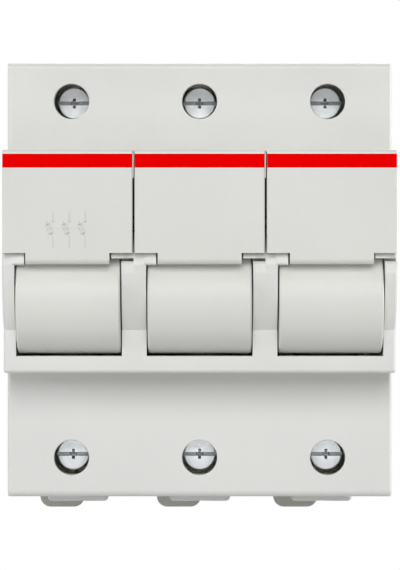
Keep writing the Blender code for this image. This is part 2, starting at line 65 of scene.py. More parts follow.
FUSE_OFFSET, FUSE_SHIFT = 9.3, -3.0
FUSE_LENGTH, FUSE_R, BARREL_R, CAP_LENGTH = 51.0, 7.0, 6.6, 13.0
SCREW_Z = {"upper": 33.1, "lower": -40.6}
HOLE_R = 3.6
FORWARD = {"upper": 0.0, "lower": -3.7}  # the lower terminals stand nearer the front
HEAD_Y, HEAD_H, HEAD_R = -42.0, 2.6, 3.45
SHANK_R, SHANK_END = 2.45, -22.8
BUS_Y, BUS_HALF = -21.75, 5.0
CAGE_Y = (-25.4, -23.0, -12.2, -10.9)
CAGE_X, CAGE_HALF_Z = (5.6, 6.8), 4.1
COLLAR_Z = -52.9
WIRE_Y, WIRE_R = -16.4, 4.9
FOOT_Y = 5.0
CLIP_X, CLIP_Y = (-9.75, 0.3), (0.6, 4.6)
BACK_SCREW_Z = (30.0, -43.0)
TIE = (-67.7, 8.25)
STRIPE_Z = (19.25, 22.02)
PLATE_HALF = 13.05

# ---- camera and light ------------------------------------------------------
scene = bpy.context.scene
scene.view_settings.view_transform = "Standard"
scene.view_settings.look = "None"

camera_data = bpy.data.cameras.new("camera")
camera = bpy.data.objects.new("camera", camera_data)
scene.collection.objects.link(camera)
scene.camera = camera
camera_data.sensor_width = 36.0
camera_data.lens = 167.3
camera_data.shift_x = 0.0006
camera_data.shift_y = -0.1579
camera_data.clip_start, camera_data.clip_end = 0.05, 20.0
camera.location = (0.0, -0.602, 0.01375)
camera.rotation_euler = (math.pi / 2, 0.0, 0.0)


def area_light(name, place, aim, size, power, colour=(1.0, 1.0, 1.0)):
    data = bpy.data.lights.new(name, "AREA")
    data.shape = "RECTANGLE"
    data.size, data.size_y = size
    data.energy = power
    data.color = colour
    lamp = bpy.data.objects.new(name, data)
    scene.collection.objects.link(lamp)
    lamp.location = place
    lamp.rotation_mode = "QUATERNION"
    lamp.rotation_quaternion = (Vector(aim) - Vector(place)).to_track_quat("-Z", "Y")
    lamp.visible_camera = False
    return lamp


def lamp_round(name, azimuth, elevation, size, power, reach=1.3, colour=(1.0, 1.0, 1.0)):
    """A soft box that looks at the object from that bearing; bearing 0 is the front."""
    a, e = math.radians(azimuth), math.radians(elevation)
    place = (
        math.sin(a) * math.cos(e) * reach,
        -math.cos(a) * math.cos(e) * reach - 0.04,
        math.sin(e) * reach,
    )
    return area_light(name, place, (0, -0.04, 0.0), size, power, colour)


lamp_round("front_high", 0, 27, (0.8, 0.75), 9.3)
lamp_round("front_low", 0, -20, (0.8, 0.3), 1.6)
lamp_round("front_axis", 0, -6, (0.3, 0.3), 0.85)
lamp_round("left_low", -68, 8, (0.6, 0.6), 3.0)
lamp_round("left_rim", -100, 10, (0.6, 0.6), 3.5)
lamp_round("right_rim", 100, 10, (0.6, 0.6), 12.5)
lamp_round("back_high", 165, 45, (1.0, 0.8), 9.0)

world = bpy.data.worlds.new("studio")
scene.world = world
world.use_nodes = True
wn, wl = world.node_tree.nodes, world.node_tree.links
wn.clear()
w_out = wn.new("ShaderNodeOutputWorld")
w_mix = wn.new("ShaderNodeMixShader")
w_seen = wn.new("ShaderNodeBackground")
w_lit = wn.new("ShaderNodeBackground")
w_path = wn.new("ShaderNodeLightPath")
w_seen.inputs["Color"].default_value = (1.0, 1.0, 1.0, 1.0)
w_seen.inputs["Strength"].default_value = 1.0
# a faint tent round the soft boxes: a band above the horizon and a pale table's bounce below
w_place = wn.new("ShaderNodeTexCoord")
w_split = wn.new("ShaderNodeSeparateXYZ")
w_height = wn.new("ShaderNodeMapRange")
w_ramp = wn.new("ShaderNodeValToRGB")
w_height.inputs["From Min"].default_value = -1.0
w_height.inputs["From Max"].default_value = 1.0
wl.new(w_place.outputs["Generated"], w_split.inputs[0])
wl.new(w_split.outputs["Z"], w_height.inputs["Value"])
wl.new(w_height.outputs["Result"], w_ramp.inputs["Fac"])
wl.new(w_ramp.outputs["Color"], w_lit.inputs["Color"])
TENT = (
    (-1.0, 0.04),
    (-0.84, 0.54),
    (-0.72, 0.54),
    (-0.58, 0.04),
    (0.10, 0.05),
    (0.28, 0.14),
    (0.45, 0.28),
    (0.58, 0.26),
    (0.68, 0.05),
)
stops = w_ramp.color_ramp.elements
while len(stops) < len(TENT):
    stops.new(0.5)
for stop, (height, level) in zip(stops, TENT):
    stop.position = (height + 1) / 2
    stop.color = (level * 0.995, level, level * 0.995, 1.0)
w_lit.inputs["Strength"].default_value = 1.9
wl.new(w_path.outputs["Is Camera Ray"], w_mix.inputs["Fac"])
wl.new(w_lit.outputs[0], w_mix.inputs[1])
wl.new(w_seen.outputs[0], w_mix.inputs[2])
wl.new(w_mix.outputs[0], w_out.inputs["Surface"])


# ---- materials -------------------------------------------------------------
MATERIALS = {}


class Tree:
    """Small help for wiring a material's nodes."""

    def __init__(self, name):
        self.material = bpy.data.materials.new(name)
        self.material.use_nodes = True
        self.nodes = self.material.node_tree.nodes
        self.links = self.material.node_tree.links
        self.shader = self.nodes["Principled BSDF"]
        coords = self.nodes.new("ShaderNodeTexCoord")
        self.place = coords.outputs["Object"]
        MATERIALS[name] = self.material

    def node(self, kind, **values):
        made = self.nodes.new("ShaderNode" + kind)
        for key, value in values.items():
            setattr(made, key, value)
        return made

    def put(self, socket, value):
        if isinstance(value, bpy.types.NodeSocket):
            self.links.new(value, socket)
        else:
            socket.default_value = value

    def math(self, operation, a, b=0.0, clamp=False):
        made = self.node("Math", operation=operation, use_clamp=clamp)
        self.put(made.inputs[0], a)
        self.put(made.inputs[1], b)
        return made.outputs[0]

    def noise(self, scale, detail=2.0, stretch=None, rough=0.5):
        made = self.node("TexNoise")
        made.inputs["Scale"].default_value = scale
        made.inputs["Detail"].default_value = detail
        made.inputs["Roughness"].default_value = rough
        place = self.place
        if stretch:
            mapping = self.node("Mapping")
            self.links.new(self.place, mapping.inputs["Vector"])
            mapping.inputs["Scale"].default_value = stretch
            place = mapping.outputs[0]
        self.links.new(place, made.inputs["Vector"])
        return made.outputs["Fac"]

    def spread(self, value, low, high, start=0.3, end=0.7):
        made = self.node("MapRange")
        self.put(made.inputs["Value"], value)
        made.inputs["From Min"].default_value = start
        made.inputs["From Max"].default_value = end
        made.inputs["To Min"].default_value = low
        made.inputs["To Max"].default_value = high
        return made.outputs["Result"]

    def mix(self, amount, a, b, blend="MIX"):
        made = self.node("Mix", data_type="RGBA", blend_type=blend)
        self.put(made.inputs[0], amount)
        for socket, value in ((made.inputs[6], a), (made.inputs[7], b)):
            if isinstance(value, tuple):
                value = (*value, 1.0)
            self.put(socket, value)
        return made.outputs[2]

    def edge(self, radius, low=0.02, high=0.30):
        """1 on outer and inner edges, 0 on open faces."""
        soft = self.node("Bevel", samples=4)
        soft.inputs["Radius"].default_value = radius
        geometry = self.node("NewGeometry")
        dot = self.node("VectorMath", operation="DOT_PRODUCT")
        self.links.new(soft.outputs[0], dot.inputs[0])
        self.links.new(geometry.outputs["Normal"], dot.inputs[1])
        away = self.math("SUBTRACT", 1.0, dot.outputs["Value"])
        return self.spread(away, 0.0, 1.0, low, high)

    def bump(self, height, distance, strength=1.0, before=None):
        made = self.node("Bump")
        made.inputs["Strength"].default_value = strength
        made.inputs["Distance"].default_value = distance
        self.links.new(height, made.inputs["Height"])
        if before is not None:
            self.links.new(before, made.inputs["Normal"])
        return made.outputs["Normal"]


def plastic(name, colour, rough=0.46, grain=0.000006, edge_light=1.05, specular=0.5):
    """Moulded thermoplastic: fine spark-eroded grain, faint flow marks, lighter edges that are partly rubbed wear and
    partly a painted highlight.
    """
    t = Tree(name)
    broad = t.noise(38.0, 3.0)
    fine = t.noise(900.0, 3.0)
    speck = t.noise(5200.0, 2.0)
    shade = t.mix(t.spread(broad, 0.0, 1.0), tuple(c * 0.975 for c in colour), tuple(min(c * 1.015, 1.0) for c in colour))
    shade = t.mix(t.spread(fine, 0.0, 0.035), shade, tuple(c * 0.8 for c in colour))
    # outer and inner edges lighter: rubbed wear on the outer edges, and a painted highlight along every edge
    wear_and_highlight = t.edge(0.0005)
    shade = t.mix(t.math("MULTIPLY", wear_and_highlight, 0.5), shade, tuple(min(c * edge_light, 1.0) for c in colour))
    t.put(t.shader.inputs["Base Color"], shade)
    base_rough = t.spread(fine, rough - 0.05, rough + 0.06)
    rough_out = t.math("SUBTRACT", base_rough, t.math("MULTIPLY", wear_and_highlight, 0.10))
    t.put(t.shader.inputs["Roughness"], rough_out)
    t.put(t.shader.inputs["Specular IOR Level"], specular)
    height = t.math("ADD", t.math("MULTIPLY", speck, 0.7), t.math("MULTIPLY", fine, 0.3))
    t.put(t.shader.inputs["Normal"], t.bump(height, grain))
    return t.material


def metal(name, colour, rough=0.28, tint=None, grain=0.000004, stretch=None, specks=0.0):
    """Plated or drawn metal: cloudy plating, fine drawing marks, brighter edges that are partly rubbed wear and partly
    a painted highlight.
    """
    t = Tree(name)
    cloud = t.noise(420.0, 4.0)
    marks = t.noise(2600.0, 3.0, stretch=stretch)
    other = tint or tuple(c * 0.86 for c in colour)
    shade = t.mix(t.spread(cloud, 0.0, 1.0), other, colour)
    if specks:
        pits = t.noise(3400.0, 1.0)
        shade = t.mix(t.spread(pits, 0.0, specks, 0.62, 0.75), shade, tuple(c * 0.45 for c in colour))
    # outer and inner edges brighter: rubbed wear on the outer edges, and a painted highlight along every edge
    wear_and_highlight = t.edge(0.00025)
    shade = t.mix(t.math("MULTIPLY", wear_and_highlight, 0.6), shade, tuple(min(1.0, c * 1.2) for c in colour))
    t.put(t.shader.inputs["Base Color"], shade)
    t.put(t.shader.inputs["Metallic"], 1.0)
    base_rough = t.spread(marks, rough - 0.06, rough + 0.10)
    t.put(t.shader.inputs["Roughness"], t.math("SUBTRACT", base_rough, t.math("MULTIPLY", wear_and_highlight, 0.08)))
    t.put(t.shader.inputs["Normal"], t.bump(marks, grain))
    return t.material


plastic("housing_grey", (0.762, 0.768, 0.742))
plastic("base_grey", (0.700, 0.705, 0.680), 0.5)
plastic("carrier_grey", (0.740, 0.745, 0.704), 0.42)
plastic("clip_grey", (0.51, 0.502, 0.466), 0.52)
plastic("stripe_red", (0.87, 0.0006, 0.0004), 0.45, grain=0.000002, edge_light=1.0, specular=0.0)
plastic("print_grey", (0.645, 0.65, 0.615), 0.5, grain=0.000001, edge_light=1.0, specular=0.3)
metal("zinc", (0.95, 0.96, 0.97), 0.44, tint=(0.84, 0.87, 0.90), grain=0.000002)
# a darker zinc for the insides of the slot and cross: painted shade where the recesses fall dark
metal("zinc_painted_shade", (0.52, 0.55, 0.57), 0.48, tint=(0.40, 0.43, 0.46), grain=0.0000008)
metal("steel", (0.60, 0.60, 0.59), 0.30, stretch=(1.0, 1.0, 12.0))
metal("steel_black", (0.075, 0.075, 0.08), 0.50, tint=(0.05, 0.05, 0.055))
metal("cage_steel", (0.62, 0.61, 0.56), 0.34, tint=(0.50, 0.48, 0.40))
metal("contact_silver", (0.86, 0.83, 0.77), 0.26, tint=(0.74, 0.66, 0.55), stretch=(12.0, 1.0, 1.0))
metal("cap_silver", (0.86, 0.85, 0.82), 0.20, tint=(0.74, 0.72, 0.68), specks=0.15)
metal("spring_steel", (0.46, 0.46, 0.47), 0.30)


def ceramic_material():
    t = Tree("ceramic")
    cloud = t.noise(160.0, 4.0)
    speck = t.noise(2200.0, 2.0)
    shade = t.mix(t.spread(cloud, 0.0, 1.0), (0.80, 0.775, 0.72), (0.87, 0.855, 0.81))
    shade = t.mix(t.spread(speck, 0.0, 0.12, 0.60, 0.75), shade, (0.5, 0.46, 0.40))
    t.put(t.shader.inputs["Base Color"], shade)
    t.put(t.shader.inputs["Roughness"], t.spread(cloud, 0.30, 0.46))
    t.put(t.shader.inputs["Normal"], t.bump(speck, 0.000006))


ceramic_material()

# ---- shaping helpers -------------------------------------------------------
TURN = {
    "YZ": Matrix(((0, 0, 1, 0), (1, 0, 0, 0), (0, 1, 0, 0), (0, 0, 0, 1))),
    "XY": Matrix.Identity(4),
    "XZ": Matrix(((1, 0, 0, 0), (0, 0, -1, 0), (0, 1, 0, 0), (0, 0, 0, 1))),
}


def add(name, mesh, finish=None):
    obj = bpy.data.objects.new(name, mesh)
    scene.collection.objects.link(obj)
    if finish:
        mesh.materials.clear()
        mesh.materials.append(MATERIALS[finish])
    return obj


def cleaned(mesh, degrees=0.2):
    bm = bmesh.new()
    bm.from_mesh(mesh)
    bmesh.ops.remove_doubles(bm, verts=bm.verts, dist=1e-6)
    bmesh.ops.dissolve_limit(
        bm, angle_limit=math.radians(degrees), verts=bm.verts, edges=bm.edges
    )
    bmesh.ops.recalc_face_normals(bm, faces=bm.faces)
    bm.to_mesh(mesh)
    bm.free()


def slab(name, points, low, high, plane="YZ", finish=None):
    """A flat outline in the given plane, from low to high across it."""
    bm = bmesh.new()
    turn = TURN[plane]
    near, far = [], []
    for a, b in points:
        for group, across in ((near, low), (far, high)):
            if plane == "XZ":
                across = -across
            group.append(bm.verts.new(turn @ Vector((a * MM, b * MM, across * MM))))
    bm.faces.new(near)
    bm.faces.new(far[::-1])
    count = len(points)
    for i in range(count):
        j = (i + 1) % count
        bm.faces.new((near[j], near[i], far[i], far[j]))
    bmesh.ops.recalc_face_normals(bm, faces=bm.faces)
    mesh = bpy.data.meshes.new(name)
    bm.to_mesh(mesh)
    bm.free()
    return add(name, mesh, finish)


def block(name, low, high, finish=None, soften=0.0, segments=2):
    bm = bmesh.new()
    bmesh.ops.create_cube(bm, size=1.0)
    size = [(h - l) * MM for l, h in zip(low, high)]
    middle = [(h + l) / 2 * MM for l, h in zip(low, high)]
    bmesh.ops.scale(bm, vec=size, verts=bm.verts)
    bmesh.ops.translate(bm, vec=middle, verts=bm.verts)
    if soften:
        bmesh.ops.bevel(
            bm, geom=bm.edges[:], offset=soften * MM, segments=segments, profile=0.5, affect="EDGES"
        )
    mesh = bpy.data.meshes.new(name)
    bm.to_mesh(mesh)
    bm.free()
    return add(name, mesh, finish)


def rod(name, axis, centre, low, high, radius, segments=48, finish=None, soften=0.0):
    bm = bmesh.new()
    bmesh.ops.create_cone(
        bm,
        cap_ends=True,
        segments=segments,
        radius1=radius * MM,
        radius2=radius * MM,
        depth=(high - low) * MM,
    )
    if soften:
        rims = [e for e in bm.edges if abs(e.verts[0].co.z - e.verts[1].co.z) < 1e-7]
        bmesh.ops.bevel(
            bm, geom=rims, offset=soften * MM, segments=3, profile=0.5, affect="EDGES"
        )
    middle = (low + high) / 2
    if axis == "X":
        spin, place = Matrix.Rotation(math.pi / 2, 3, "Y"), (middle, *centre)
    elif axis == "Y":
        spin = Matrix.Rotation(-math.pi / 2, 3, "X")
        place = (centre[0], middle, centre[1])
    else:
        spin, place = Matrix.Identity(3), (*centre, middle)
    bmesh.ops.rotate(bm, verts=bm.verts, cent=(0, 0, 0), matrix=spin)
    bmesh.ops.translate(bm, vec=[value * MM for value in place], verts=bm.verts)
    mesh = bpy.data.meshes.new(name)
    bm.to_mesh(mesh)
    bm.free()
    return add(name, mesh, finish)


def rounded(obj, chosen, radius, segments=3):
    """Rounds the edges for which chosen(first end, second end) holds, in mm."""
    bm = bmesh.new()
    bm.from_mesh(obj.data)
    edges = [
        edge
        for edge in bm.edges
        if chosen(edge.verts[0].co / MM, edge.verts[1].co / MM)
    ]
    bmesh.ops.bevel(
        bm,
        geom=edges,
        offset=radius * MM,
        segments=segments,
        profile=0.5,
        affect="EDGES",
        clamp_overlap=False,
    )
    bm.to_mesh(obj.data)
    bm.free()
    return obj


def combine(target, other, operation):
    modifier = target.modifiers.new(operation.lower(), "BOOLEAN")
    modifier.operation = operation
    modifier.solver = "EXACT"
    modifier.object = other


def cut(target, *others):
    for other in others:
        combine(target, other, "DIFFERENCE")


def join(target, *others):
    for other in others:
        combine(target, other, "UNION")


def settle(obj, clean=True):
    """Applies the modifiers, so that the result can take part in more cuts."""
    bpy.context.view_layer.update()
    graph = bpy.context.evaluated_depsgraph_get()
    mesh = bpy.data.meshes.new_from_object(obj.evaluated_get(graph))
    helpers = [m.object for m in obj.modifiers if m.type == "BOOLEAN"]
    obj.modifiers.clear()
    old = obj.data
    obj.data = mesh
    mesh.name = old.name
    bpy.data.meshes.remove(old)
    for helper in helpers:
        data = helper.data
        bpy.data.objects.remove(helper, do_unlink=True)
        bpy.data.meshes.remove(data)
    if clean:
        cleaned(obj.data)
    return obj


def polished(obj, finish, degrees=38, weighted=True):
    """Last step of a piece: one finish, smooth shading that keeps flat faces flat."""
    obj.data.materials.clear()
    obj.data.materials.append(MATERIALS[finish])
    for face in obj.data.polygons:
        face.material_index = 0
    obj.data.shade_smooth()
    obj.data.set_sharp_from_angle(angle=math.radians(degrees))
    if weighted:
        modifier = obj.modifiers.new("flat_faces", "WEIGHTED_NORMAL")
        modifier.keep_sharp = True
        modifier.weight = 90
        settle(obj, clean=False)
    return obj


def arc(centre, radius, start, end, count):
    return [
        (
            centre[0] + radius * math.cos(math.radians(start + (end - start) * i / count)),
            centre[1] + radius * math.sin(math.radians(start + (end - start) * i / count)),
        )
        for i in range(count + 1)
    ]


def hinge_arc(radius, z_front, y_rear, count):
    start = 180 - math.degrees(math.asin((z_front - AXIS[1]) / radius))
    end = math.degrees(math.acos((y_rear - AXIS[0]) / radius))
    return arc(AXIS, radius, start, end, count)


def leaning(n, u):
    """A point of the leaning fuse's own frame: n behind the hinge, u along the fuse."""
    return (
        AXIS[0] + n * math.cos(TILT) - u * math.sin(TILT),
        AXIS[1] + n * math.sin(TILT) + u * math.cos(TILT),
    )


def lean_into_place(obj, x):
    middle = leaning(FUSE_OFFSET, FUSE_SHIFT)
    turn = Matrix.Rotation(TILT, 4, "X")
    obj.data.transform(Matrix.Translation(Vector((x, *middle)) * MM) @ turn)
    return obj


def spun(name, profile, steps):
    """A solid of revolution about Z from (radius, height) pairs, poles on the axis."""
    bm = bmesh.new()
    rings = []
    for r, z in profile:
        if r < 1e-9:
            rings.append([bm.verts.new((0, 0, z * MM))])
            continue
        rings.append(
            [
                bm.verts.new(
                    (
                        r * MM * math.cos(2 * math.pi * k / steps),
                        r * MM * math.sin(2 * math.pi * k / steps),
                        z * MM,
                    )
                )
                for k in range(steps)
            ]
        )
    for a, b in zip(rings, rings[1:]):
        for k in range(steps):
            j = (k + 1) % steps
            if len(a) == 1 and len(b) == 1:
                continue
            if len(a) == 1:
                bm.faces.new((a[0], b[k], b[j]))
            elif len(b) == 1:
                bm.faces.new((a[k], a[j], b[0]))
            else:
                bm.faces.new((a[k], a[j], b[j], b[k]))
    bmesh.ops.recalc_face_normals(bm, faces=bm.faces)
    mesh = bpy.data.meshes.new(name)
    bm.to_mesh(mesh)
    bm.free()
    return add(name, mesh)


def face_to_front(obj, x, z):
    """Turns a shape built along Z so that its +Z end looks at the viewer, at (x, z)."""
    obj.data.transform(
        Matrix.Translation(Vector((x, 0, z)) * MM) @ Matrix.Rotation(math.pi / 2, 4, "X")
    )
    return obj


def placed(obj, body, slot, *nodes):
    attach(obj, body)
    if nodes:
        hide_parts(*nodes)
    return obj


# ---- front housing ---------------------------------------------------------
def mouth(name, x, z, front, radius, deep, flare):
    """A round cutter along Y whose front edge is flared, for a hole with a rounded rim."""
    start = -front
    profile = [(0, start + 2.0), (radius + flare, start + 2.0), (radius + flare, start)]
    for i in range(1, 5):
        a = math.radians(90 * i / 4)
        profile.append((radius + flare - flare * math.sin(a), start - flare + flare * math.cos(a)))
    # behind the lip the bore widens, so that the head stands in a dark pocket
    profile += [(radius, start - 0.9), (radius + 0.85, start - 1.3)]
    profile += [(radius + 0.85, -deep), (0, -deep)]
    obj = spun(name, profile, 64)
    return face_to_front(obj, x, z)


def end_mouth(name, x, y, face, radius, deep, flare, up):
    """The same along Z, entering from the face at that height."""
    sign = 1 if up else -1
    profile = [(0, 2.0), (radius + flare, 2.0), (radius + flare, 0.0)]
    for i in range(1, 5):
        a = math.radians(90 * i / 4)
        profile.append((radius + flare - flare * math.sin(a), -flare + flare * math.cos(a)))
    profile += [(radius, -deep), (0, -deep)]
    obj = spun(name, profile, 64)
    spin = Matrix.Identity(4) if up else Matrix.Rotation(math.pi, 4, "X")
    obj.data.transform(Matrix.Translation(Vector((x, y, face)) * MM) @ spin)
    return obj


def front_housing():
    post = arc((POST_Y + 20.42, -0.15), 20.42, 180 + 41.4, 180, 24)
    post[0] = (BAR_Y, -13.65)
    outline = (
        [(REAR_Y, BOTTOM)]
        + arc((COVER_Y + 1.5, BOTTOM + 1.5), 1.5, 270, 180, 8)
        + [(COVER_Y, NOSE_BOTTOM)]
        + arc((BAR_Y + 0.8, NOSE_BOTTOM + 0.8), 0.8, 270, 180, 6)
        + post[:-1]
        + [(-70.35, -0.15)]
        + hinge_arc(POST_TOP_R, 1.85, COVER_Y, 36)
        + arc((COVER_Y + 1.2, TOP - 1.2), 1.2, 180, 90, 8)
        + [(REAR_Y, TOP)]
    )
    body = slab("housing_shell", outline, -HALF_W, HALF_W)
    # the upright edges are well rounded, the ones that run back along top and bottom hardly
    weights = body.data.attributes.new("bevel_weight_edge", "FLOAT", "EDGE")
    for edge in body.data.edges:
        a, b = (body.data.vertices[i].co / MM for i in edge.vertices)
        on_side = abs(abs(a.x) - HALF_W) < 1e-3 and abs(a.x - b.x) < 1e-3
        if on_side and min(a.y, b.y) < REAR_Y - 1:
            weights.data[edge.index].value = 0.28 + 0.72 * abs(b.z - a.z) / (b - a).length
    sides = body.modifiers.new("side_edges", "BEVEL")
    sides.limit_method = "WEIGHT"
    sides.width = 0.85 * MM
    sides.segments = 4
    sides.use_clamp_overlap = False
    settle(body, clean=False)
    chamber = [
        (-80, WINDOW_BOTTOM),
        (-62.6, WINDOW_BOTTOM),
        (-62.6, NOSE_BOTTOM + WALL),
        (COVER_Y + WALL, NOSE_BOTTOM + WALL),
        (COVER_Y + WALL, -35.2),
        (-30.0, -35.2),
        (-30.0, -36.2),
        (COVER_Y + WALL, -36.2),
        (COVER_Y + WALL, BOTTOM + 1.5),
        (-2.0, BOTTOM + 1.5),
        (-2.0, TOP - 1.5),
        (COVER_Y + WALL, TOP - 1.5),
        (COVER_Y + WALL, 24.5),
        (-38.5, 24.5),
        (-38.5, NOSE_TOP + 0.15),
        (-80, NOSE_TOP + 0.15),
    ]
    for side, x in POLES.items():
        cut(body, slab(side + "_chamber", chamber, x - CAVITY, x + CAVITY))
    settle(body)

    def window_rim(a, b):
        for x in POLES.values():
            on_side = abs(abs(a.x - x) - CAVITY) < 1e-3 and abs(abs(b.x - x) - CAVITY) < 1e-3 and abs(a.x - b.x) < 1e-3
            front = a.y < BAR_Y + 0.01 and b.y < BAR_Y + 0.01
            low = -18.9 < min(a.z, b.z) and max(a.z, b.z) < -0.4
            if on_side and front and low:
                return True
        return False

    rounded(body, window_rim, 0.22, 2)

    left_cap = [(-70.2, -0.35), (-70.7, 0.0), (-70.75, 1.0), (-70.42, 1.8), (-70.15, 2.09), (-66.3, 2.09), (-68.6, -0.35)]
    right_cap = [(-70.7, 1.05), (-70.65, 1.45), (-70.38, 1.88), (-70.15, 2.09), (-66.3, 2.09), (-67.2, 1.05)]
    for side, x in POLES.items():
        collar = block(side + "_collar", (x - 6.6, -25.7, COLLAR_Z), (x + 6.6, -13.6, BOTTOM + 0.7))
        rounded(collar, lambda a, b: min(a.z, b.z) < COLLAR_Z + 0.1, 0.9, 4)
        join(
            body,
            slab(side + "_cap_l", left_cap, x - CAVITY - 0.4, x - POST_CAP_X),
            slab(side + "_cap_r", right_cap, x + POST_CAP_X, x + CAVITY + 0.4),
            collar,
        )
        for end, z in SCREW_Z.items():
            join(body, rod(side + "_guide", "Y", (x, z), COVER_Y + 1.0, -42.6 + FORWARD[end], 5.0, 48))
    settle(body)
    for side, x in POLES.items():
        cut(
            body,
            block(side + "_seal_slot", (x + 10.0, -73.0, -0.1), (x + (13.25 if x < 20 else 14.5), -69.3, 1.05)),
            block(side + "_seal_gap", (x + 9.9, -72.9, 0.42), (x + (13.2 if x < 20 else 14.6), -66.6, 1.04)),
            slab(side + "_seal_dip", [(-70.9, 0.2), (-69.75, 0.2), (-70.3, -2.9), (-70.9, -2.9)], x + 11.0, x + (13.2 if x < 20 else 14.6)),
            end_mouth(side + "_top_entry", x, WIRE_Y, TOP, WIRE_R, 4.0, 0.5, True),
            end_mouth(side + "_low_entry", x, WIRE_Y + FORWARD["lower"], COLLAR_Z, WIRE_R, 8.0, 0.5, False),
        )
        for end, z in SCREW_Z.items():
            cut(body, mouth(side + "_screw_hole", x, z, COVER_Y, HOLE_R, -40.0 + FORWARD[end], 0.25))
    for x in (-PITCH / 2, PITCH / 2):
        for z in BACK_SCREW_Z:
            cut(body, rod("pilot", "Y", (x, z), -17.0, -5.0, 1.65, 24))
    cut(body, rod("axle_bore", "X", AXIS, -38.4, 42.0, 1.8, 32))
    settle(body)
    polished(body, "housing_grey", 35)
    return placed(body, "housing", "housing", "front_housing")


# ---- rear base -------------------------------------------------------------
def rear_base():
    front = REAR_Y + 0.3
    outline = (
        [(front, BOTTOM)]
        + arc((FOOT_Y - 1.0, BOTTOM + 1.0), 1.0, 270, 360, 6)
        + arc((FOOT_Y - 0.5, -18.6 - 0.5), 0.5, 0, 90, 4)
        + [(-0.4, -18.6), (-0.4, -16.0), (0.0, -15.8), (0.0, 15.8), (-0.4, 16.0)]
        + [(-0.4, 18.2), (1.5, 18.2), (1.5, 16.4)]
        + [(FOOT_Y - 1.2, 16.4)]
        + [(FOOT_Y, 17.6)]
        + arc((FOOT_Y - 1.0, TOP - 1.0), 1.0, 0, 90, 6)
        + [(front, TOP)]
    )
    body = slab("base_shell", outline, -HALF_W, HALF_W)
    rounded(
        body,
        lambda a, b: abs(abs(a.x) - HALF_W) < 1e-3
        and abs(abs(b.x) - HALF_W) < 1e-3
        and a.x * b.x > 0
        and (a.y > front + 0.5 or b.y > front + 0.5)
        and not (abs(a.y) < 0.01 and abs(b.y) < 0.01),
        0.3,
        3,
    )
    for side, x in POLES.items():
        cut(
            body,
            block(side + "_clip_wide", (x - 11.6, 0.3, -38.8), (x + 2.15, 2.7, -18.0)),
            block(
                side + "_clip_way",
                (x + CLIP_X[0] - 0.3, 0.3, -60.0),
                (x + CLIP_X[1] + 0.3, 8.0, -17.5),
            ),
            block(side + "_relief", (x - 9.0, -9.0, -34.0), (x + 9.0, -5.0, 26.0), soften=1.0),
        )
    settle(body)
    for side, x in POLES.items():
        join(body, block(side + "_lug", (x - 7.2, -1.0, -40.0), (x - 2.4, 4.1, -38.5), soften=0.2))
    for x in (-PITCH / 2, PITCH / 2):
        for z in BACK_SCREW_Z:
            cut(
                body,
                rod("through", "Y", (x, z), -9.0, 7.0, 1.65, 32),
                rod("sink", "Y", (x, z), 2.0, 8.0, 3.2, 48),
            )
    settle(body)
    # shallow lightening pockets between the upper feet, as moulded
    for x in (-PITCH, 0.0, PITCH):
        cut(body, block("pocket", (x - 9.5, 3.6, 22.0), (x + 9.5, 6.0, 37.0), soften=0.6))
    settle(body)
    polished(body, "base_grey", 35)
    return placed(body, "housing", "base", "rear_base")


